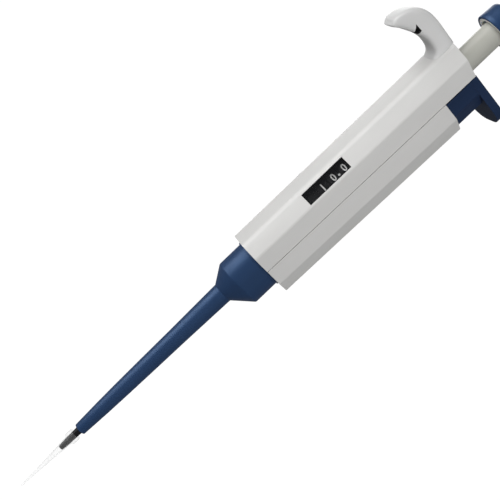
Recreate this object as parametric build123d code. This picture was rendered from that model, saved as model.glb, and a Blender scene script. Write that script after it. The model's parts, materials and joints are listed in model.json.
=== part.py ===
"""Single-channel adjustable 10 microlitre pipette with its disposable tip fitted.

Millimetres. +Z runs up the piston axis from the tip to the thumb button, -X points to the finger
hook, +X to the ejector pad. The origin is on the axis at the rim plane of the fitted tip.
"""
import math
import os

from build123d import *

os.makedirs("parts", exist_ok=True)

# ---------------------------------------------------------------- driving dimensions
RUN = 0.05                   # radial clearance of every turning or sliding fit

TIP_LENGTH = 31.0
NOZZLE_END = -8.3
SLEEVE_END = 2.8
SLEEVE_TOP = 84.5
COLLAR_BREAK = 91.8
COLLAR_TOP = 103.95
BODY_BOTTOM = 104.0
COVER_TOP = 200.3
BODY_TOP_AT_AXIS = 216.9
TOP_FALL = 0.165             # drop of the top face per millimetre towards +X
CAP_RIM = 235.8
CAP_TOP = 245.0

WALL = 1.5
COVER_WALL = 1.1
FACE_X = -12.0               # flat that carries the finger hook
FACE_HALF = 6.5
SIDE_Y = 12.2
SEAM_BOTTOM_X = 1.3
SEAM_TOP_X = 2.4

PRESS_TRAVEL = 15.5          # 12.7 mm to the first stop and 2.8 mm of blow-out
BLOWOUT_TRAVEL = 2.8
EJECT_TRAVEL = 9.0

WINDOW_BOTTOM = 134.7
WINDOW_TOP = 156.6
WINDOW_WIDTH = 5.9
WINDOW_ANGLE = 228.3         # direction of the window facet about +Z, from +X

DRUM_R = 9.6
DRUM_BORE = 7.4
DRUM_PITCH = 5.7
DRUM_GAP = 0.1
FIRST_DRUM_Z = 140.4

NOZZLE_SHOULDER = 12.0       # nozzle to barrel joint
NOZZLE_TOP = 18.0
AIR_R = 0.62                 # air channel above the nozzle orifice
ORIFICE_R = 0.32
BORE_R = 2.3                 # barrel bore that holds the seal pack and the return spring
SEAL_SEAT = 56.0
SEAL_R = 2.28
SPRING_LOW = 60.6
SPRING_HIGH = 97.6
PISTON_TOP = 99.6
BARREL_FLANGE = 101.4
BARREL_TOP = 107.6
THREAD_R = 4.45              # barrel thread in the floor of the body
NUT_LOW = 106.0
NUT_TOP = 108.4
NUT_R = 6.9
SEAT_THICK = 1.2
SEAT_R = 6.6
VOLUME_NUT_LOW = 124.0
VOLUME_NUT_TOP = 133.6
COLLAR_LOW = 129.9           # keyed collar of the volume nut
NUT_KEY_R = 6.2
SCREW_R = 2.4
TUBE_BORE = 4.2
CAP_SEAT = 237.4
RIM_BORE = 7.75
RING_BORE = 6.4
BEARING_LOW = 205.2
BEARING_R = 6.7
TOP_HOLE_R = 6.2

ROD_X = 11.2
ROD_R = 1.05
TUBE_R = 5.23
CAP_R = 8.75


# ---------------------------------------------------------------- helpers
def ring(outer, inner, z_low, z_high):
    """Straight tube about the piston axis."""
    body = Pos(0, 0, (z_low + z_high) / 2) * Cylinder(outer, z_high - z_low)
    if inner > 0:
        body -= Pos(0, 0, (z_low + z_high) / 2) * Cylinder(inner, z_high - z_low + 1)
    return body


def turned(points):
    """Solid of revolution about the piston axis from an (r, z) outline."""
    face = make_face(Polyline([(r, 0, z) for r, z in points], close=True))
    return revolve(face, Axis.Z, 360)


def inset_polygon(points, amount):
    """Convex counter-clockwise polygon with every side moved inwards."""
    count = len(points)
    lines = []
    for i in range(count):
        ax, ay = points[i]
        bx, by = points[(i + 1) % count]
        length = math.hypot(bx - ax, by - ay)
        nx, ny = -(by - ay) / length, (bx - ax) / length
        lines.append((ax + nx * amount, ay + ny * amount, bx - ax, by - ay))
    result = []
    for i in range(count):
        px, py, pdx, pdy = lines[i - 1]
        qx, qy, qdx, qdy = lines[i]
        cross = pdx * qdy - pdy * qdx
        t = ((qx - px) * qdy - (qy - py) * qdx) / cross
        result.append((px + pdx * t, py + pdy * t))
    return result


def body_corners(z):
    """Corners of the outer section at height z, counter-clockwise, mirror-symmetric in Y."""
    t = (z - BODY_BOTTOM) / (COVER_TOP - BODY_BOTTOM)
    front_x = -6.1 + 0.9 * t
    rear_side_x = 9.1 + 1.4 * t
    rear_x = 16.4 + 1.55 * t
    half = [(rear_x, 6.5), (rear_side_x, SIDE_Y), (front_x, SIDE_Y), (FACE_X, FACE_HALF)]
    return half + [(x, -y) for x, y in reversed(half)]


CORNER_RADII = [1.8, 1.6, 1.8, 4.2]     # outer corners in the order of body_corners


def section(z, inset=0.0):
    """Filleted section face at height z."""
    points = inset_polygon(body_corners(z), inset) if inset else body_corners(z)
    face = Pos(0, 0, z) * make_face(Polyline(*points, close=True))
    for i, (x, y) in enumerate(points[:4]):
        pair = [v for v in face.vertices() if abs(v.X - x) < 1e-4 and abs(abs(v.Y) - y) < 1e-4]
        face = fillet(pair, max(CORNER_RADII[i] - inset, 0.3))
    return face


def prism(z_low, z_high, inset=0.0):
    """Ruled solid between two body sections."""
    return loft([section(z_low, inset), section(z_high, inset)], ruled=True)


def side_slab(points, half_width=30.0):
    """Slab across Y from an outline in the XZ plane."""
    face = make_face(Polyline([(x, 0, z) for x, z in points], close=True))
    return extrude(face, amount=half_width, dir=(0, 1, 0), both=True)


def coil(mean_r, wire_r, z_low, z_high, turns, x=0.0, closed=1.5):
    """Compression spring with closed ends, resting between two planes."""
    path_low = z_low + wire_r
    path_high = z_high - wire_r
    end_pitch = wire_r * 2.06
    end_height = end_pitch * closed
    free_height = path_high - path_low - 2 * end_height
    lower = Helix(end_pitch, end_height, mean_r, center=(0, 0, path_low))
    middle = Helix(free_height / turns, free_height, mean_r)
    turn_at = (closed % 1) * 360
    middle = Pos(0, 0, path_low + end_height) * Rot(0, 0, turn_at) * middle
    upper = Helix(end_pitch, end_height, mean_r)
    turn_at = (closed + turns) % 1 * 360
    upper = Pos(0, 0, path_high - end_height) * Rot(0, 0, turn_at) * upper
    solids = []
    for path in (lower, middle, upper):
        wire = Wire(path.edges()) if not isinstance(path, Wire) else path
        plane = Plane(origin=wire @ 0, z_dir=wire % 0)
        solids.append(sweep(plane * Circle(wire_r), path=wire))
    body = solids[0] + solids[1] + solids[2]
    return Pos(x, 0, 0) * body


def stadium(radius, shift, z):
    """Outline of two equal circles, one on the axis and one moved to +X."""
    face = Pos(shift / 2, 0, z) * SlotCenterToCenter(shift, radius * 2)
    return face


def facet_box(width, z_low, z_high, near, far):
    """Box square to the window facet, between two distances from the axis."""
    depth = far - near
    box = Box(depth, width, z_high - z_low)
    return Rot(0, 0, WINDOW_ANGLE) * Pos((near + far) / 2, 0, (z_low + z_high) / 2) * box


def keep_largest(shape):
    """Drop stray slivers after a cut."""
    return max(shape.solids(), key=lambda s: s.volume)


PARTS = {}

# ---------------------------------------------------------------- disposable tip
TIP_OUTER = [(2.7, 0), (2.7, -3.0), (1.87, -3.6), (1.53, -8.4), (1.1, -15.2), (0.8, -22.0), (0.5, -28.8),
             (0.4, -TIP_LENGTH)]
TIP_INNER = [(0.2, -TIP_LENGTH), (0.25, -28.8), (0.5, -22.0), (0.78, -15.2), (1.2, -8.8), (1.49, -3.6),
             (1.53, 0)]
tip = turned(TIP_OUTER + TIP_INNER)
for k in range(12):
    rib = Pos(2.55, 0, -1.7) * Box(0.5, 0.35, 2.6)
    tip += Rot(0, 0, k * 30) * rib
tip = tip & ring(2.85, 0, -TIP_LENGTH, 0)
tip -= turned([(0, 0.5), (1.53, 0.5)] + list(reversed(TIP_INNER)) + [(0, -TIP_LENGTH)])
PARTS["pipette_tip"] = keep_largest(tip)

# ---------------------------------------------------------------- nozzle and barrel
nozzle = turned([(ORIFICE_R, NOZZLE_END), (1.02, NOZZLE_END), (1.1, NOZZLE_END + 0.15), (1.46, -3.6),
                 (1.5, 0),
                 (1.65, 3.0), (1.9, NOZZLE_SHOULDER), (1.2, NOZZLE_SHOULDER), (1.2, NOZZLE_TOP),
    (AIR_R, NOZZLE_TOP), (AIR_R, 2.0),
                 (ORIFICE_R, 1.5)])
for z in (-5.6, -2.4):
    groove = Pos(0, 0, z) * Torus(1.52 - (0.12 if z < -3 else 0.0), 0.1)
    nozzle -= groove
PARTS["nozzle"] = nozzle

barrel = turned([(1.2, NOZZLE_SHOULDER), (2.2, NOZZLE_SHOULDER), (3.5, 84.0), (3.5, BARREL_FLANGE),
                 (6.5, BARREL_FLANGE), (6.5, BODY_BOTTOM),
                 (THREAD_R, BODY_BOTTOM), (THREAD_R, BARREL_TOP), (BORE_R, BARREL_TOP),
    (BORE_R, SEAL_SEAT), (AIR_R, SEAL_SEAT), (AIR_R, NOZZLE_TOP),
                 (1.2, NOZZLE_TOP)])
for k in range(3):
    barrel -= Pos(0, 0, 106.3 + 0.5 * k) * Torus(4.5, 0.14)
PARTS["barrel"] = barrel

nut_blank = extrude(Pos(0, 0, NUT_LOW) * RegularPolygon(NUT_R, 6), NUT_TOP - NUT_LOW)
nut_blank = nut_blank & turned([(0, NUT_LOW), (6.4, NUT_LOW), (NUT_R, 106.5), (NUT_R, 107.9),
                                (6.4, NUT_TOP), (0, NUT_TOP)])
PARTS["barrel_nut"] = nut_blank - Pos(0, 0, 107.2) * Cylinder(THREAD_R, 4)

# ---------------------------------------------------------------- seal pack and piston
PARTS["piston_seal"] = turned([(0.52, SEAL_SEAT), (SEAL_R, SEAL_SEAT), (SEAL_R, 57.6), (1.2, 57.6),
                               (0.9, 58.3), (0.52, 58.3)])
PARTS["seal_o_ring"] = Pos(0, 0, 58.1) * Torus(1.76, 0.5)
PARTS["seal_retainer"] = turned([(0.7, 58.6), (SEAL_R, 58.6), (SEAL_R, SPRING_LOW), (1.1, SPRING_LOW),
                                 (1.1, 62.6), (0.7, 62.6)])
PARTS["piston"] = turned([(0, 22.0), (0.3, 22.0), (0.5, 22.5), (0.5, PISTON_TOP), (0, PISTON_TOP)])
PARTS["piston_head"] = turned([(0.5, 94.0), (1.2, 94.0), (1.2, SPRING_HIGH), (2.2, SPRING_HIGH),
                               (2.2, 99.8), (1.6, 100.6),
                               (0, 100.6), (0, PISTON_TOP), (0.5, PISTON_TOP)])
PARTS["return_spring"] = coil(1.72, 0.22, SPRING_LOW, SPRING_HIGH, 12)

# ---------------------------------------------------------------- blow-out spring and stop washer
SEAT_TOP = 117.15
PARTS["blowout_seat"] = turned([(4.2, SEAT_TOP - SEAT_THICK), (SEAT_R, SEAT_TOP - SEAT_THICK),
                                (SEAT_R, SEAT_TOP), (4.2, SEAT_TOP)])
PARTS["blowout_spring"] = coil(5.5, 0.35, NUT_TOP, SEAT_TOP - SEAT_THICK, 2.5, closed=1.0)

# ---------------------------------------------------------------- volume nut, spindle, plunger
nut = turned([(SCREW_R + RUN, VOLUME_NUT_LOW), (3.8, VOLUME_NUT_LOW), (3.8, COLLAR_LOW),
              (NUT_KEY_R, COLLAR_LOW), (NUT_KEY_R, 131.6), (3.9, 131.6),
              (3.9, VOLUME_NUT_TOP), (SCREW_R + RUN, VOLUME_NUT_TOP)])
for k in range(4):
    nut -= Rot(0, 0, 90 * k) * Pos(NUT_KEY_R, 0, 130.7) * Box(1.2, 2.0, 4)
PARTS["volume_nut"] = nut

spindle = turned([(0, 100.65), (1.2, 100.65), (1.35, 100.9), (1.35, VOLUME_NUT_LOW), (2.1, 124.4),
                  (SCREW_R, 125.0), (SCREW_R, 180.0),
                  (TUBE_BORE, 181.0), (TUBE_BORE, 184.0), (SCREW_R, 185.0), (SCREW_R, 236.8),
    (1.9, 237.3), (0, 237.3)])
for k in range(24):
    spindle -= Pos(0, 0, 134.6 + 1.0 * k) * Torus(2.55, 0.32)
PARTS["spindle"] = spindle

PARTS["plunger_tube"] = turned([(TUBE_BORE, 176.0), (5.0, 176.0), (TUBE_R, 176.3), (TUBE_R, CAP_SEAT),
                                (TUBE_BORE, CAP_SEAT)])

cap = turned([(0, 237.3), (SCREW_R, 237.3), (SCREW_R, 236.0), (TUBE_BORE, 236.0), (TUBE_BORE, CAP_SEAT),
              (TUBE_R, CAP_SEAT),
              (TUBE_R, 236.9), (RING_BORE, 236.9), (RING_BORE, CAP_SEAT), (RIM_BORE, CAP_SEAT),
    (RIM_BORE, CAP_RIM), (8.45, CAP_RIM),
              (CAP_R, CAP_RIM + 0.3), (CAP_R - 0.35, CAP_TOP - 2.4), (CAP_R - 0.8, CAP_TOP - 1.1),
              (CAP_R - 2.2, CAP_TOP - 0.15), (CAP_R - 3.4, CAP_TOP), (0, CAP_TOP - 0.6)])
PARTS["plunger_cap"] = cap
PARTS["cap_ring"] = turned([(6.45, CAP_RIM + 0.1), (7.7, CAP_RIM + 0.1), (RIM_BORE, CAP_RIM + 0.2),
                            (RIM_BORE, CAP_SEAT),
                            (RING_BORE, CAP_SEAT), (RING_BORE, CAP_RIM + 0.2)])

bushing = turned([(TUBE_R + RUN, BEARING_LOW), (BEARING_R, BEARING_LOW), (BEARING_R, 207.2),
                  (TOP_HOLE_R, 207.2), (TOP_HOLE_R, 216.2),
                  (TUBE_R + RUN, 216.2)])
PARTS["top_bushing"] = bushing & side_slab([(-20, 200), (20, 200), (20, 212.6), (-20, 219.2)])

# ---------------------------------------------------------------- counter
drum_names = ["drum_tens", "drum_units", "drum_tenths"]
for k, name in enumerate(drum_names):
    low = FIRST_DRUM_Z + k * DRUM_PITCH
    high = low + DRUM_PITCH - DRUM_GAP
    drum = turned([(DRUM_BORE, low), (9.4, low), (DRUM_R, low + 0.2), (DRUM_R, high - 0.2), (9.4, high),
                   (DRUM_BORE, high)])
    for j in range(20):
        tooth_gap = Pos(8.55, 0, high) * Box(0.9, 0.8, 1.2)
        drum -= Rot(0, 0, 18 * j) * tooth_gap
    PARTS[name] = drum

COUNTER_LOW = 133.7
COUNTER_BORE = 6.3
COUNTER_PLATE = FIRST_DRUM_Z + 3 * DRUM_PITCH
frame_core = ring(DRUM_BORE - RUN, COUNTER_BORE, COUNTER_LOW, COUNTER_PLATE + 1.0)
frame_base = ring(DRUM_R, COUNTER_BORE, COUNTER_LOW, FIRST_DRUM_Z - DRUM_GAP)
frame_plate = prism(COUNTER_PLATE, COUNTER_PLATE + 1.8, WALL) - Pos(0, 0, COUNTER_PLATE) * Cylinder(COUNTER_BORE, 6)
frame_plate -= side_slab([(6.0, 150), (30, 150), (30, 170), (6.0, 170)]) - Pos(ROD_X, 0, 160) * Box(9.4, 9, 30)
frame_plate -= Pos(ROD_X, 0, COUNTER_PLATE) * Cylinder(ROD_R + RUN, 8)
counter = frame_core + frame_base + frame_plate
PARTS["counter_frame"] = keep_largest(counter)

PINION_R = 1.7
PINION_AT = 11.75
PINION_ANGLE = 42
shaft_x = PINION_AT * math.cos(math.radians(PINION_ANGLE))
shaft_y = PINION_AT * math.sin(math.radians(PINION_ANGLE))
for k, name in enumerate(["transfer_pinion_low", "transfer_pinion_high"]):
    middle = FIRST_DRUM_Z + (k + 1) * DRUM_PITCH - DRUM_GAP / 2
    pinion = Cylinder(PINION_R, 3.0)
    for j in range(8):
        pinion -= Rot(0, 0, 45 * j) * Pos(PINION_R, 0, 0) * Cylinder(0.36, 4)
    pinion -= Cylinder(0.5 + RUN, 4)
    PARTS[name] = Pos(shaft_x, shaft_y, middle) * pinion
shaft = Pos(shaft_x, shaft_y, (COUNTER_LOW + 8 + COUNTER_PLATE) / 2) * Cylinder(0.5, COUNTER_PLATE - COUNTER_LOW - 8)
PARTS["pinion_shaft"] = shaft

# ---------------------------------------------------------------- ejector
sleeve = turned([(1.95, SLEEVE_END), (2.45, SLEEVE_END), (2.66, SLEEVE_END + 0.35), (3.13, 15.3),
                 (3.44, 27.6),
                 (3.69, 43.0), (3.9, 58.4), (4.44, SLEEVE_TOP), (4.1, SLEEVE_TOP), (4.1, 90.0),
                 (3.74, 90.0), (3.74, 84.0), (3.2, 58.4), (2.99, 43.0), (2.74, 27.6), (2.43, 15.3)])
PARTS["ejector_sleeve"] = sleeve

ROD_LOW = 97.5
ROD_HIGH = 192.0
BUTTON_LOW = 187.0
COLLAR_R = 9.3
COLLAR_SHIFT = 3.3
COLLAR_WALL = 1.1
FLANGE = 0.6
NECK_R = 4.5
collar = loft([stadium(NECK_R, 0.02, SLEEVE_TOP), stadium(COLLAR_R, COLLAR_SHIFT, COLLAR_BREAK)], ruled=True)
collar += extrude(stadium(COLLAR_R, COLLAR_SHIFT, COLLAR_BREAK), COLLAR_TOP - COLLAR_BREAK)
collar += extrude(stadium(COLLAR_R + FLANGE, COLLAR_SHIFT, COLLAR_TOP - 0.8), 0.8)
hollow = loft([stadium(4.1, 0.02, 89.95), stadium(COLLAR_R - COLLAR_WALL, COLLAR_SHIFT, 94.0)], ruled=True)
hollow += extrude(stadium(COLLAR_R - COLLAR_WALL, COLLAR_SHIFT, 94.0), COLLAR_TOP)
collar -= hollow
collar -= Pos(0, 0, 86.5) * Cylinder(4.1, 7)
boss = Pos(ROD_X - 1.1, 0, 98.0) * Box(3.2, 5.0, 8.0)
boss = boss & extrude(stadium(COLLAR_R - 0.5, COLLAR_SHIFT, 90), 14)
collar += boss
collar -= Pos(ROD_X, 0, 102) * Cylinder(ROD_R, 9)
collar = keep_largest(collar)
PARTS["ejector_collar"] = collar

PARTS["ejector_rod"] = Pos(ROD_X, 0, (ROD_LOW + ROD_HIGH) / 2) * Cylinder(ROD_R, ROD_HIGH - ROD_LOW)
PARTS["ejector_spring"] = coil(1.75, 0.25, COUNTER_PLATE + 1.8, BUTTON_LOW, 14, x=ROD_X)

PAD_LOW = 213.7
PAD_TOP = 217.5
STEM_INSET = COVER_WALL + 0.3
stem_z = BUTTON_LOW - EJECT_TRAVEL
stem_points = inset_polygon(body_corners(stem_z), STEM_INSET)
stem_face = Pos(0, 0, BUTTON_LOW) * make_face(Polyline(*stem_points, close=True))
stem_block = extrude(stem_face, PAD_LOW - BUTTON_LOW)
core_points = inset_polygon(body_corners(stem_z), STEM_INSET + 1.6)
core_face = Pos(0, 0, BUTTON_LOW - 1) * make_face(Polyline(*core_points, close=True))
stem = stem_block - extrude(core_face, PAD_LOW - BUTTON_LOW + 2)
stem -= Pos(-20 + 3.4, 0, 200) * Box(40, 60, 60)
shelf = Pos(12.0, 0, BUTTON_LOW + 2.5) * Box(7.4, 17.0, 5.0)
shelf = shelf & stem_block
shelf -= Pos(0, 0, 190) * Cylinder(7.0, 20)
PAD_FRONT = 3.4
PAD_REAR = 28.2
PAD_HALF = 10.5
pad_face = Pos((PAD_FRONT + PAD_REAR) / 2, 0, PAD_LOW) * Rectangle(PAD_REAR - PAD_FRONT, 2 * PAD_HALF)
pad_face = fillet([v for v in pad_face.vertices() if v.X > 20], 8.0)
pad = extrude(pad_face, PAD_TOP - PAD_LOW)
rim = [e for e in pad.edges() if e.center().Z > PAD_TOP - 0.01 and e.center().X > PAD_FRONT + 0.1]
pad = fillet(rim, 1.0)
button = stem + shelf + pad
button -= Pos(0, 0, 205) * Cylinder(7.3, 40)
button -= Pos(ROD_X, 0, 188) * Cylinder(ROD_R, 8)
button = keep_largest(button)
PARTS["ejector_button"] = button

# ---------------------------------------------------------------- housing
OUTER_TOP = 222.0
outer = prism(BODY_BOTTOM, OUTER_TOP)
inner = prism(BODY_BOTTOM + 2.0, OUTER_TOP, WALL)
SEAM_GAP = 0.2


def front_of_seam(shift):
    """Everything ahead of the parting plane, moved by shift towards +X."""
    low_x = SEAM_BOTTOM_X + shift
    high_x = SEAM_TOP_X + shift
    return side_slab([(-40, 90), (low_x, 90), (low_x, BODY_BOTTOM), (high_x, BODY_TOP_AT_AXIS),
                      (high_x, 240),
                      (-40, 240)])


front_zone = front_of_seam(0)
top_low = BODY_TOP_AT_AXIS - 30 * TOP_FALL
top_high = BODY_TOP_AT_AXIS + 30 * TOP_FALL
above_top = side_slab([(-30, top_high), (30, top_low), (30, 260), (-30, 260)])
under_roof = side_slab([(-30, top_high - 1.8), (30, top_low - 1.8), (30, 90), (-30, 90)])

shell = (outer - (inner & under_roof)) & front_zone
shell -= above_top
floor_inset = prism(BODY_BOTTOM, BODY_BOTTOM + 2.0, COVER_WALL + 0.05)
shell += floor_inset
shell -= Pos(0, 0, 105) * Cylinder(THREAD_R, 6)
shell -= Pos(ROD_X, 0, 105) * Cylinder(ROD_R + 0.1, 6)
shell -= Pos(0, 0, 212) * Cylinder(TOP_HOLE_R, 20)
bearing = ring(8.2, BEARING_R, BEARING_LOW, 214.0) & front_zone
gusset = Pos(-9.4, 0, 209.6) * Box(4.0, 6.0, 8.8)
gusset -= Pos(0, 0, 209) * Cylinder(BEARING_R, 20)
shell += bearing
shell += gusset
shell += (ring(BEARING_R + 0.01, TOP_HOLE_R, BEARING_LOW + 2.0, 215.0) & front_zone) & under_roof
shell -= Pos(0, 0, BEARING_LOW + 1.0) * Cylinder(BEARING_R, 2.0)
shell -= facet_box(WINDOW_WIDTH, WINDOW_BOTTOM, WINDOW_TOP, 9, 16)
shell -= facet_box(WINDOW_WIDTH + 1.2, WINDOW_BOTTOM - 0.6, WINDOW_TOP + 0.6, 9, 12.25)
hook_slot = Pos(FACE_X + 0.7, 0, 214.0) * Box(3.0, 6.0, 5.0)
shell -= hook_slot
PARTS["front_shell"] = keep_largest(shell)

cover_inner = prism(BODY_BOTTOM - 1.0, OUTER_TOP, COVER_WALL)
cover = (outer - cover_inner) - front_of_seam(SEAM_GAP)
cover -= side_slab([(-30, COVER_TOP), (60, COVER_TOP), (60, 260), (-30, 260)])
cover -= Pos(17.0, 0, 120.7) * Box(4.0, 9.0, 3.0)
PARTS["back_cover"] = keep_largest(cover)

lens = facet_box(WINDOW_WIDTH + 1.0, WINDOW_BOTTOM - 0.5, WINDOW_TOP + 0.5, 11.3, 12.2)
lens += facet_box(WINDOW_WIDTH - 0.1, WINDOW_BOTTOM + 0.05, WINDOW_TOP - 0.05, 11.3, 12.5)
PARTS["window_lens"] = lens

# ---------------------------------------------------------------- finger hook
HOOK_HALF = 5.6
HOOK_ROUND = 2.0                # rounding of its long edges
REST_Z = 212.2                  # flat underside that rests on the index finger
# x, z and rounding of each corner, from the top of the root round the tip to the foot of the root
HOOK_CORNERS = [(FACE_X, 220.2, 0), (-27.4, 220.0, 10.0), (-33.9, 214.6, 8.0), (-36.2, 204.6, 2.0),
                (-33.0, 203.6, 1.6),
                (-30.6, 207.1, 3.0), (-21.5, REST_Z, 6.0), (-15.0, REST_Z, 3.0), (FACE_X, 206.5, 0)]
NOTCH_CORNERS = [(-25.9, 208.6), (-28.4, 211.9), (-24.6, 212.5), (-23.2, 210.0), (-23.2, 208.6)]
hook_face = make_face(Polyline([(x, 0, z) for x, z, r in HOOK_CORNERS], close=True))
for x, z, radius in HOOK_CORNERS:
    if radius:
        hook_face = fillet([v for v in hook_face.vertices() if abs(v.X - x) + abs(v.Z - z) < 0.01], radius)
hook = extrude(hook_face, amount=HOOK_HALF, dir=(0, 1, 0), both=True)
sides = [e for e in hook.edges() if abs(abs(e.center().Y) - HOOK_HALF) < 0.01 and e.center().X < FACE_X - 0.01]
hook = fillet(sides, HOOK_ROUND)
notch_face = make_face(Polyline([(x, 0, z) for x, z in NOTCH_CORNERS], close=True))
hook -= extrude(notch_face, amount=2 * HOOK_HALF, dir=(0, 1, 0), both=True)
hook += Pos(FACE_X + 0.7, 0, 214.0) * Box(1.6, 6.0, 5.0)
PARTS["finger_hook"] = hook

# ---------------------------------------------------------------- export
for name, shape in PARTS.items():
    export_step(shape, f"parts/{name}.step")
    solids = shape.solids()
    box = shape.bounding_box()
    print(f"{name:22s} solids {len(solids)} vol {shape.volume:9.1f} "
          f"x {box.min.X:7.2f} {box.max.X:7.2f} y {box.min.Y:7.2f} {box.max.Y:7.2f} "
          f"z {box.min.Z:7.2f} {box.max.Z:7.2f}")
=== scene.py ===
import json
import math

import bmesh
import bpy
from mathutils import Matrix, Vector


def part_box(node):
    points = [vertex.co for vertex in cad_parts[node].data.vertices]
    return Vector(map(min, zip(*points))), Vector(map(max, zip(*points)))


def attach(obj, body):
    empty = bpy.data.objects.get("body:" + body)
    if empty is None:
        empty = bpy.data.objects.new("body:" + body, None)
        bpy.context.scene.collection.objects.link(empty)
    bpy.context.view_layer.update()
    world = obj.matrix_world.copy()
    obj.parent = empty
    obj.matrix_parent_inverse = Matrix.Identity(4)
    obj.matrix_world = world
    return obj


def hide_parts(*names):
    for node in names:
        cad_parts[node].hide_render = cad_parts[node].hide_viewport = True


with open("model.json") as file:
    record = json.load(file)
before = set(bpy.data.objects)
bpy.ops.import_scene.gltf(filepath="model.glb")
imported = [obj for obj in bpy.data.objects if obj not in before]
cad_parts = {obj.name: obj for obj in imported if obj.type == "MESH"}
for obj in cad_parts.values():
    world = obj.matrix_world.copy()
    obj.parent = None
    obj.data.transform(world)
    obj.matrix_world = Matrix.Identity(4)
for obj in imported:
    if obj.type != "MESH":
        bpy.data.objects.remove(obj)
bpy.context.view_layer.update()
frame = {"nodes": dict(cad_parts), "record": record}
nodes = frame["nodes"]

MM = 0.001
TAU = 2 * math.pi
WINDOW_TURN = math.radians(228.3)      # direction of the window facet about the piston axis
REST = frame["record"]["mounts"][1]["pos_m"][2] / MM     # height of the flat under the finger hook


# ---------------------------------------------------------------- camera
def make_camera():
    """Product view: from the hook side, rolled so that the axis climbs from lower left to upper right."""
    azimuth = math.radians(-25.0)
    tilt = math.radians(2.37)
    roll = math.radians(46.2)
    distance = 391.96 * MM
    across = -4.83 * MM
    look_height = 104.69 * MM
    back = Vector((math.sin(azimuth) * math.cos(tilt), -math.cos(azimuth) * math.cos(tilt), math.sin(tilt)))
    right = Vector((math.cos(azimuth), math.sin(azimuth), 0))
    up = back.cross(right)
    x_axis = right * math.cos(roll) + up * math.sin(roll)
    y_axis = up * math.cos(roll) - right * math.sin(roll)
    data = bpy.data.cameras.new("camera")
    data.sensor_width = 36.0
    data.lens = 69.17
    data.clip_start = 0.01
    data.clip_end = 20.0
    camera = bpy.data.objects.new("camera", data)
    turn = Matrix((x_axis, y_axis, back)).transposed().to_4x4()
    place = right * across + Vector((0, 0, look_height)) + back * distance
    camera.matrix_world = Matrix.Translation(place) @ turn
    bpy.context.scene.collection.objects.link(camera)
    bpy.context.scene.camera = camera


# ---------------------------------------------------------------- materials
class Nodes:
    """Short calls for building a node tree on Object coordinates."""

    def __init__(self, name):
        self.material = bpy.data.materials.new(name)
        self.material.use_nodes = True
        self.tree = self.material.node_tree
        self.shader = self.tree.nodes["Principled BSDF"]
        self.place = self.add("ShaderNodeTexCoord").outputs["Object"]

    def add(self, kind, **settings):
        node = self.tree.nodes.new(kind)
        for key, value in settings.items():
            setattr(node, key, value)
        return node

    def link(self, source, target):
        self.tree.links.new(source, target)

    def noise(self, scale, detail=3.0, roughness=0.5, stretch=None):
        """Noise factor; stretch squeezes the pattern along the axes."""
        node = self.add("ShaderNodeTexNoise")
        node.inputs["Scale"].default_value = scale
        node.inputs["Detail"].default_value = detail
        node.inputs["Roughness"].default_value = roughness
        place = self.place
        if stretch:
            mapping = self.add("ShaderNodeMapping")
            mapping.inputs["Scale"].default_value = stretch
            self.link(self.place, mapping.inputs["Vector"])
            place = mapping.outputs["Vector"]
        self.link(place, node.inputs["Vector"])
        return node.outputs["Fac"]

    def ramp(self, factor, low, high, at=(0.35, 0.65)):
        """Blends two colours by a factor between two positions."""
        node = self.add("ShaderNodeValToRGB")
        node.color_ramp.elements[0].position = at[0]
        node.color_ramp.elements[1].position = at[1]
        node.color_ramp.elements[0].color = (*low, 1)
        node.color_ramp.elements[1].color = (*high, 1)
        self.link(factor, node.inputs["Fac"])
        return node.outputs["Color"]

    def spread(self, factor, low, high):
        """Maps a factor to a number range."""
        node = self.add("ShaderNodeMapRange")
        node.inputs["From Min"].default_value = 0.3
        node.inputs["From Max"].default_value = 0.7
        node.inputs["To Min"].default_value = low
        node.inputs["To Max"].default_value = high
        self.link(factor, node.inputs["Value"])
        return node.outputs["Result"]

    def bump(self, height, strength, depth, after=None):
        """Surface relief, laid over an earlier one if given."""
        node = self.add("ShaderNodeBump")
        node.inputs["Strength"].default_value = strength
        node.inputs["Distance"].default_value = depth
        self.link(height, node.inputs["Height"])
        if after:
            self.link(after, node.inputs["Normal"])
        return node.outputs["Normal"]

    def set(self, **values):
        """Constants of the surface shader, named with _ for a space."""
        for key, value in values.items():
            self.shader.inputs[key.replace("_", " ")].default_value = value


def shade(colour, factor):
    return tuple(c * factor for c in colour)


def moulded(name, colour, rough, grain=5200, grain_depth=0.012, mottle=0.03, gloss=0.5, glow=0.0,
            tint=(1.0, 1.0, 1.0), sink_depth=0.05):
    """Injection-moulded plastic: fine spark texture, faint flow mottle, rubbed patches."""
    n = Nodes(name)
    flow = n.noise(38, 4, 0.55, stretch=(1, 1, 0.35))
    n.link(n.ramp(flow, shade(colour, 1 - mottle), shade(colour, 1 + mottle)), n.shader.inputs["Base Color"])
    rub = n.noise(210, 5, 0.6)
    n.link(n.spread(rub, rough - 0.05, rough + 0.06), n.shader.inputs["Roughness"])
    grains = n.bump(n.noise(grain, 2, 0.6), 0.55, grain_depth * MM)
    sink = n.bump(n.noise(70, 1, 0.4), 0.12, sink_depth * MM, after=grains)
    n.link(sink, n.shader.inputs["Normal"])
    n.set(Specular_IOR_Level=gloss, Specular_Tint=(*tint, 1), Subsurface_Weight=glow,
          Subsurface_Scale=0.4 * MM)
    return n.material


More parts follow.
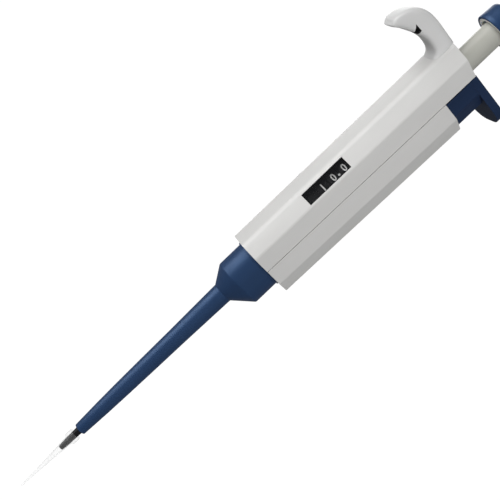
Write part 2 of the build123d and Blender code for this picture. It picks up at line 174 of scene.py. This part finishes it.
def film(name, colour, rough, cover, gloss):
    """Thin clear plastic: lets most of the view through, more milky where it is seen edge-on."""
    n = Nodes(name)
    flow = n.noise(60, 3, 0.5, stretch=(1, 1, 0.12))
    n.link(n.ramp(flow, shade(colour, 0.97), colour), n.shader.inputs["Base Color"])
    n.link(n.spread(n.noise(320, 4, 0.6), rough * 0.8, rough * 1.3), n.shader.inputs["Roughness"])
    edge = n.add("ShaderNodeLayerWeight")
    edge.inputs["Blend"].default_value = 0.25
    amount = n.add("ShaderNodeMapRange")
    amount.inputs["To Min"].default_value, amount.inputs["To Max"].default_value = cover
    n.link(edge.outputs["Facing"], amount.inputs["Value"])
    n.link(amount.outputs["Result"], n.shader.inputs["Alpha"])
    n.set(Specular_IOR_Level=gloss)
    return n.material


def metal(name, colour, rough, stretch, scale=900):
    """Turned or drawn metal with fine tool lines."""
    n = Nodes(name)
    lines = n.noise(scale, 4, 0.65, stretch=stretch)
    n.link(n.ramp(lines, shade(colour, 0.86), shade(colour, 1.06)), n.shader.inputs["Base Color"])
    n.link(n.spread(n.noise(160, 4, 0.6), rough - 0.05, rough + 0.09), n.shader.inputs["Roughness"])
    n.link(n.bump(lines, 0.35, 0.01 * MM), n.shader.inputs["Normal"])
    n.set(Metallic=1.0)
    return n.material


def printed(name, colour):
    """White pad-printed ink with a slightly uneven film."""
    n = Nodes(name)
    film = n.noise(2400, 3, 0.6)
    n.link(n.ramp(film, shade(colour, 0.9), colour, at=(0.3, 0.55)), n.shader.inputs["Base Color"])
    n.link(n.spread(film, 0.42, 0.55), n.shader.inputs["Roughness"])
    n.link(n.bump(film, 0.2, 0.004 * MM), n.shader.inputs["Normal"])
    return n.material


GREY = (0.575, 0.572, 0.562)
HOOK_GREY = (0.60, 0.60, 0.597)
TUBE_GREY = (0.41, 0.41, 0.37)
BLUE = (0.016, 0.038, 0.095)
SHEEN = (0.38, 0.6, 1.0)
NAVY = (0.014, 0.026, 0.062)
BLACK = (0.006, 0.006, 0.007)
WHITE = (0.74, 0.74, 0.72)
PTFE = (0.8, 0.8, 0.78)
RUBBER = (0.015, 0.015, 0.015)
SMOKE = (0.25, 0.26, 0.28)
MILK = (0.62, 0.625, 0.63)
STEEL = (0.56, 0.56, 0.57)
BRASS = (0.62, 0.44, 0.18)
INK_WHITE = (0.83, 0.83, 0.82)

blue_skin = {"grain": 3000, "grain_depth": 0.0004, "mottle": 0.05, "tint": SHEEN, "sink_depth": 0.01}

finish = {
    "body_grey": moulded("body_grey", GREY, 0.44),
    "hook_grey": moulded("hook_grey", HOOK_GREY, 0.36, grain=4200, grain_depth=0.006),
    "tube_grey": moulded("tube_grey", TUBE_GREY, 0.38, grain=4800, grain_depth=0.005),
    "button_blue": moulded("button_blue", BLUE, 0.42, **blue_skin),
    "sleeve_blue": moulded("sleeve_blue", BLUE, 0.4, **blue_skin),
    "button_navy": moulded("button_navy", NAVY, 0.45, grain_depth=0.004, mottle=0.06, gloss=0.12, tint=SHEEN),
    "counter_black": moulded("counter_black", BLACK, 0.5, grain_depth=0.002, mottle=0.1, gloss=0.15),
    "barrel_dark": moulded("barrel_dark", BLACK, 0.4, mottle=0.08, gloss=0.25),
    "bushing_white": moulded("bushing_white", WHITE, 0.35, glow=0.1),
    "seal_ptfe": moulded("seal_ptfe", PTFE, 0.4, glow=0.1),
    "seal_rubber": moulded("seal_rubber", RUBBER, 0.6, grain=3000, grain_depth=0.02),
    "window_clear": film("window_clear", SMOKE, 0.05, (0.015, 0.12), 0.35),
    "tip_clear": film("tip_clear", MILK, 0.2, (0.04, 0.4), 0.4),
    "steel": metal("steel", STEEL, 0.3, (1, 1, 12)),
    "brass_nut": metal("brass_nut", BRASS, 0.3, (1, 1, 9)),
}
ink = printed("digit_ink", INK_WHITE)


def dress_cad():
    """Gives every CAD node the finish of its material slot."""
    slots = {s["node"]: s["material_slot"] for s in frame["record"]["subparts"]}
    for name, node in nodes.items():
        node.data.materials.clear()
        node.data.materials.append(finish[slots[name]])


# ---------------------------------------------------------------- mesh helpers
def new_piece(name, bm, material, body, smooth=40):
    """Links a bmesh as a piece of the object, smooth-shaded below an edge angle."""
    bmesh.ops.recalc_face_normals(bm, faces=bm.faces)
    mesh = bpy.data.meshes.new(name)
    bm.to_mesh(mesh)
    bm.free()
    mesh.shade_smooth()
    mesh.set_sharp_from_angle(angle=math.radians(smooth))
    piece = bpy.data.objects.new(name, mesh)
    bpy.context.scene.collection.objects.link(piece)
    mesh.materials.append(material)
    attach(piece, body)
    return piece


def spun(outline, steps=96):
    """Full spin of an (r, z) outline in millimetres about the piston axis."""
    bm = bmesh.new()
    verts = [bm.verts.new((r * MM, 0, z * MM)) for r, z in outline]
    edges = [bm.edges.new(pair) for pair in zip(verts, verts[1:])]
    bmesh.ops.spin(bm, geom=verts + edges, cent=(0, 0, 0), axis=(0, 0, 1), angle=TAU, steps=steps,
                   use_merge=True)
    bmesh.ops.remove_doubles(bm, verts=bm.verts, dist=1e-6)
    return bm


# ---------------------------------------------------------------- softened mouldings
def rounded_moulding(node, material, body, width):
    """Copy of a CAD node with its sharp edges rounded as a mould leaves them."""
    bm = bmesh.new()
    bm.from_mesh(nodes[node].data)
    bmesh.ops.remove_doubles(bm, verts=bm.verts, dist=1e-6)
    bmesh.ops.dissolve_limit(bm, angle_limit=math.radians(0.8), verts=bm.verts, edges=bm.edges,
                             delimit={"NORMAL"})
    piece = new_piece(node + "_skin", bm, finish[material], body, smooth=28)
    bevel = piece.modifiers.new("edges", "BEVEL")
    bevel.width = width * MM
    bevel.segments = 3
    bevel.limit_method = "ANGLE"
    bevel.angle_limit = math.radians(32)
    bevel.harden_normals = True
    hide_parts(node)


# ---------------------------------------------------------------- plunger cap
def make_cap():
    """Thumb button with a rounded shoulder and a shallow dish, hollow under its rim."""
    low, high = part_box("plunger_cap")
    rim_r = high.x / MM
    rim, top = low.z / MM, high.z / MM
    skirt_r = 7.76
    ceiling = rim + 1.5
    outline = [(2.5, rim + 1.2), (4.4, rim + 1.2), (4.4, ceiling), (6.2, ceiling), (skirt_r, ceiling),
               (skirt_r, rim + 0.05), (skirt_r + 0.19, rim), (rim_r - 0.25, rim), (rim_r, rim + 0.25),
               (rim_r - 0.1, rim + 2.4), (rim_r - 0.35, top - 2.3)]
    shoulder_x, shoulder_z, shoulder_r = rim_r - 2.35, top - 2.1, 2.0
    arc_steps = 8
    for k in range(arc_steps + 1):
        turn = math.radians(6 + 84 * k / arc_steps)
        outline.append((shoulder_x + shoulder_r * math.cos(turn), shoulder_z + shoulder_r * math.sin(turn)))
    outline += [(rim_r - 3.4, top - 0.16), (rim_r - 5.4, top - 0.5), (rim_r - 7.2, top - 0.68),
                (0, top - 0.75)]
    cap = new_piece("plunger_cap_skin", spun(outline), finish["button_blue"], "knob",
                    smooth=50)
    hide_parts("plunger_cap")


# ---------------------------------------------------------------- ejector collar
def make_collar():
    """Funnel-shaped collar, round at the sleeve and slotted in outline under the body."""
    low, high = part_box("ejector_collar")
    foot, top = low.z / MM, high.z / MM
    reach = (high.x + low.x) / MM
    wide = high.y / MM
    side = wide - 0.6                   # wall below the flange
    inside = side - 1.1
    neck, bore = 4.5, 4.1
    corner = 91.8                       # where the cone meets the straight wall
    # height, radius of the round ends and distance between their centres
    stations = [(foot + 0.15, neck, 0), (corner - 0.3, side - 0.22, reach * 0.955),
                (corner, side - 0.06, reach * 0.99), (corner + 0.4, side, reach), (top - 0.9, side, reach),
                (top - 0.8, side + 0.1, reach), (top - 0.75, wide, reach), (top - 0.1, wide, reach),
                (top, wide - 0.1, reach), (top, inside, reach), (corner + 2.2, inside, reach),
                (89.95, bore, 0), (foot, bore, 0), (foot, neck - 0.15, 0), (foot + 0.15, neck, 0)]
    steps = 48
    bm = bmesh.new()
    loops = []
    for z, radius, shift in stations:
        loop = []
        for k in range(2 * steps):
            half = k // steps
            turn = math.radians(-90 + 180 * half + 180 * (k % steps) / (steps - 1))
            x = (0 if half else shift) + radius * math.cos(turn)
            loop.append(bm.verts.new((x * MM, radius * math.sin(turn) * MM, z * MM)))
        loops.append(loop)
    for lower, upper in zip(loops, loops[1:]):
        for k in range(2 * steps):
            after = (k + 1) % (2 * steps)
            bm.faces.new((lower[k], lower[after], upper[after], upper[k]))
    bmesh.ops.remove_doubles(bm, verts=bm.verts, dist=1e-6)
    collar = new_piece("ejector_collar_skin", bm, finish["sleeve_blue"], "ejector", smooth=24)
    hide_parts("ejector_collar")


# ---------------------------------------------------------------- ejector sleeve
def make_sleeve():
    """Tapered sleeve turned finely enough for an unbroken band of light."""
    low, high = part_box("ejector_sleeve")
    foot, top = low.z / MM, high.z / MM
    lip = 2.66
    shoulder = top - 5.5
    wall = 0.7
    taper = [(3.13, 15.3), (3.44, 27.6), (3.69, 43.0), (3.9, 58.4)]
    outer = [(2.45, foot), (2.6, foot + 0.12), (lip, foot + 0.35), *taper, (4.44, shoulder), (4.1, shoulder),
             (4.1, top)]
    inner = [(3.74, top), (3.74, shoulder - 0.5)] + [(r - wall, z) for r, z in reversed(taper)]
    inner += [(1.95, foot), (2.45, foot)]
    sleeve = new_piece("ejector_sleeve_skin", spun(outer + inner), finish["sleeve_blue"], "ejector",
                       smooth=35)
    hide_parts("ejector_sleeve")


# ---------------------------------------------------------------- finger hook
def make_hook():
    """Arched hook: a rounded ring carried from the body face out to the tip, then subdivided."""
    face_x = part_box("front_shell")[0].x / MM
    # upper point, lower point and half-width of each ring, from the body outwards
    crest = 220.15
    rings = [((face_x + 0.4, crest), (face_x + 0.4, 208.3), 6.4),
             ((face_x - 0.15, crest), (face_x - 0.1, 208.9), 6.35),
             ((face_x - 1.0, crest), (face_x - 0.8, 210.6), 6.2),
             ((face_x - 3.0, 220.1), (face_x - 2.6, 211.9), 6.0),
             ((-18.6, 220.3), (-18.0, REST), 5.85), ((-22.6, 220.4), (-21.0, REST - 0.3), 5.75),
             ((-26.2, 220.2), (-24.2, 210.6), 5.7), ((-29.6, 219.1), (-27.0, 209.0), 5.65),
             ((-32.4, 217.1), (-29.2, 207.7), 5.6), ((-34.4, 214.2), (-30.9, 206.6), 5.55),
             ((-35.5, 211.2), (-32.1, 205.6), 5.5), ((-35.8, 208.6), (-32.9, 204.9), 5.35),
             ((-35.6, 206.9), (-33.6, 204.5), 4.9), ((-35.2, 206.1), (-34.2, 204.6), 3.8)]
    bm = bmesh.new()
    ring = bmesh.ops.create_circle(bm, segments=20, radius=1.0)["verts"]
    squareness = 0.5
    for v in ring:
        v.co.x = math.copysign(abs(v.co.x) ** squareness, v.co.x)
        v.co.y = math.copysign(abs(v.co.y) ** squareness, v.co.y)

    def placing(upper, lower, half):
        """Carries the unit ring to stand between two points, with the given half-width."""
        top = Vector((upper[0], 0, upper[1])) * MM
        bottom = Vector((lower[0], 0, lower[1])) * MM
        tall = (top - bottom) / 2
        wide = Vector((0, half * MM, 0))
        out = wide.cross(tall).normalized()
        turn = Matrix((wide, tall, out)).transposed().to_4x4()
        return Matrix.Translation((top + bottom) / 2) @ turn

    was = placing(*rings[0])
    bmesh.ops.transform(bm, matrix=was, verts=ring)
    edges = list(bm.edges)
    for station in rings[1:]:
        grown = bmesh.ops.extrude_edge_only(bm, edges=edges)["geom"]
        ring = [g for g in grown if isinstance(g, bmesh.types.BMVert)]
        edges = [g for g in grown if isinstance(g, bmesh.types.BMEdge)]
        now = placing(*station)
        bmesh.ops.transform(bm, matrix=now @ was.inverted(), verts=ring)
        was = now
    cap = bmesh.ops.contextual_create(bm, geom=edges)["faces"]
    bmesh.ops.inset_region(bm, faces=cap, thickness=0.3 * MM, depth=0.1 * MM, use_even_offset=True)
    bmesh.ops.recalc_face_normals(bm, faces=bm.faces)
    hook = new_piece("finger_hook_skin", bm, finish["hook_grey"], "base", smooth=180)
    subdivision = hook.modifiers.new("round", "SUBSURF")
    subdivision.levels = 3
    subdivision.render_levels = 3
    cut_notch(hook)
    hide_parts("finger_hook")


def cut_notch(hook):
    """Slanted recess across the underside of the hook, baked into its mesh, with black plastic on its walls
    as painted shade.
    """
    outline = [(-23.4, 208.0), (-28.3, 212.0), (-24.7, 212.3), (-22.3, 208.0)]
    reach = 9 * MM                      # past the sides of the hook
    bm = bmesh.new()
    face = bm.faces.new([bm.verts.new((x * MM, -reach, z * MM)) for x, z in outline])
    grown = bmesh.ops.extrude_face_region(bm, geom=[face])["geom"]
    moved = [g for g in grown if isinstance(g, bmesh.types.BMVert)]
    bmesh.ops.translate(bm, verts=moved, vec=(0, 2 * reach, 0))
    bmesh.ops.recalc_face_normals(bm, faces=bm.faces)
    mesh = bpy.data.meshes.new("notch")
    bm.to_mesh(mesh)
    bm.free()
    # black counter plastic on the recess walls: painted shade in the recess
    mesh.materials.append(finish["counter_black"])
    cutter = bpy.data.objects.new("notch", mesh)
    bpy.context.scene.collection.objects.link(cutter)
    cut = hook.modifiers.new("notch", "BOOLEAN")
    cut.operation = "DIFFERENCE"
    cut.solver = "EXACT"
    cut.material_mode = "TRANSFER"
    cut.object = cutter
    bpy.context.view_layer.update()
    baked = bpy.data.meshes.new_from_object(hook.evaluated_get(bpy.context.evaluated_depsgraph_get()))
    hook.modifiers.clear()
    hook.data = baked
    baked.name = "finger_hook_skin"
    baked.set_sharp_from_angle(angle=math.radians(35))
    bpy.data.objects.remove(cutter)


# ---------------------------------------------------------------- counter digits
def digit_mesh(text, tall, narrow):
    """Flat glyph mesh with its middle at the origin, tall millimetres high."""
    curve = bpy.data.curves.new("glyph", "FONT")
    curve.body = text
    curve.align_x = "CENTER"
    curve.resolution_u = 4
    curve.offset = 0.02
    holder = bpy.data.objects.new("glyph", curve)
    bpy.context.scene.collection.objects.link(holder)
    bpy.context.view_layer.update()
    mesh = bpy.data.meshes.new_from_object(holder.evaluated_get(bpy.context.evaluated_depsgraph_get()))
    bpy.data.objects.remove(holder)
    across = [v.co.x for v in mesh.vertices]
    upward = [v.co.y for v in mesh.vertices]
    middle_x = (max(across) + min(across)) / 2
    middle_y = (max(upward) + min(upward)) / 2
    size = tall * MM / (max(upward) - min(upward))
    centred = Matrix.Translation((-middle_x, -middle_y, 0))
    mesh.transform(Matrix.Diagonal((size * narrow, size, 1, 1)) @ centred)
    bm = bmesh.new()
    bm.from_mesh(mesh)
    strips = 12
    for k in range(1, strips):
        cut = (k / strips - 0.5) * tall * MM
        parts = list(bm.verts) + list(bm.edges) + list(bm.faces)
        bmesh.ops.bisect_plane(bm, geom=parts, plane_co=(0, cut, 0), plane_no=(0, 1, 0))
    bm.to_mesh(mesh)
    bm.free()
    return mesh


def wrap_on_drum(bm, verts, turn, height, radius):
    """Bends a flat glyph onto the drum, head towards the hook, so that a line of digits runs up."""
    for v in verts:
        angle = turn - v.co.y / radius
        v.co = Vector((radius * math.cos(angle), radius * math.sin(angle), height + v.co.x))


def make_digits():
    """Ten digits printed round each counter drum, and the decimal point after the units."""
    ink_thick = 0.02 * MM
    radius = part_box("drum_units")[1].x + ink_thick
    shown = {"drum_tens": 1, "drum_units": 0, "drum_tenths": 0}
    body_of_drum = {"drum_tens": "tens_wheel", "drum_units": "units_wheel", "drum_tenths": "tenths_wheel"}
    glyphs = {d: digit_mesh(str(d), 3.6, 0.78) for d in range(10)}
    dot = digit_mesh(".", 1.0, 1.0)
    for drum, first in shown.items():
        low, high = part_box(drum)
        middle = (low.z + high.z) / 2
        bm = bmesh.new()
        for d in range(10):
            turn = WINDOW_TURN + (first - d) * TAU / 10
            before = len(bm.verts)
            bm.from_mesh(glyphs[d])
            bm.verts.ensure_lookup_table()
            wrap_on_drum(bm, bm.verts[before:], turn, middle, radius)
            if drum == "drum_units":
                before = len(bm.verts)
                bm.from_mesh(dot)
                bm.verts.ensure_lookup_table()
                foot = turn + 0.9 * MM / radius
                wrap_on_drum(bm, bm.verts[before:], foot, high.z - 0.4 * MM, radius)
        piece = new_piece(drum + "_digits", bm, ink, body_of_drum[drum], smooth=180)
        layer = piece.modifiers.new("film", "SOLIDIFY")
        layer.thickness = ink_thick
        layer.offset = 0


# ---------------------------------------------------------------- stage
def make_stage():
    """Pale seamless floor that curves up into a wall all round."""
    floor_z, flat_r, curve_r, wall_top = -0.30, 1.6, 0.6, 3.2
    curve_steps = 8
    outline = [(0, floor_z), (flat_r, floor_z)]
    for k in range(1, curve_steps + 1):
        turn = math.radians(-90 + 90 * k / curve_steps)
        outline.append((flat_r + curve_r * math.cos(turn), floor_z + curve_r + curve_r * math.sin(turn)))
    outline.append((flat_r + curve_r, wall_top))
    bm = spun([(r / MM, z / MM) for r, z in outline], steps=64)
    bmesh.ops.recalc_face_normals(bm, faces=bm.faces)
    mesh = bpy.data.meshes.new("floor")
    bm.to_mesh(mesh)
    bm.free()
    mesh.shade_smooth()
    floor = bpy.data.objects.new("floor", mesh)
    bpy.context.scene.collection.objects.link(floor)
    n = Nodes("floor_white")
    n.set(Base_Color=(0.08, 0.08, 0.08, 1), Roughness=0.95, Specular_IOR_Level=0.0,
          Emission_Color=(1, 1, 1, 1))
    seen = n.add("ShaderNodeLightPath").outputs["Is Camera Ray"]
    glow = n.add("ShaderNodeMapRange")
    glow.inputs["To Min"].default_value = 0.13
    glow.inputs["To Max"].default_value = 1.0
    n.link(seen, glow.inputs["Value"])
    n.link(glow.outputs["Result"], n.shader.inputs["Emission Strength"])
    mesh.materials.append(n.material)


def area_light(name, place, aim, size, power, glints=True):
    """Soft box in metres and watts; one without glints lights surfaces and isn't mirrored in them."""
    data = bpy.data.lights.new(name, "AREA")
    data.shape = "RECTANGLE"
    data.size, data.size_y = size
    data.energy = power
    light = bpy.data.objects.new(name, data)
    light.location = place
    light.rotation_mode = "QUATERNION"
    light.rotation_quaternion = (Vector(aim) - Vector(place)).to_track_quat("-Z", "Y")
    light.visible_glossy = glints
    bpy.context.scene.collection.objects.link(light)


def make_lights():
    """Key from the hook side, broad front and fill, rear light on the far edges."""
    world = bpy.data.worlds.new("studio")
    world.use_nodes = True
    ambient = world.node_tree.nodes["Background"]
    ambient.inputs["Color"].default_value = (1, 1, 1, 1)
    ambient.inputs["Strength"].default_value = 0.46
    bpy.context.scene.world = world
    middle = (0, 0, 0.12)
    area_light("key", (-1.0, 0.04, -0.10), middle, (0.9, 1.3), 18.0)
    area_light("front", (-0.15, -1.6, 0.05), middle, (1.8, 1.8), 22.5, glints=False)
    area_light("fill", (1.1, -1.2, 0.1), middle, (1.2, 1.2), 6.5, glints=False)
    area_light("rear", (0.1, 1.4, 0.7), middle, (1.0, 1.0), 8.0)
    bpy.context.scene.view_settings.view_transform = "Standard"


make_camera()
dress_cad()
rounded_moulding("front_shell", "body_grey", "base", 0.22)
rounded_moulding("back_cover", "body_grey", "base", 0.2)
rounded_moulding("ejector_button", "button_navy", "ejector", 0.3)
make_cap()
make_collar()
make_sleeve()
make_hook()
make_digits()
make_stage()
make_lights()
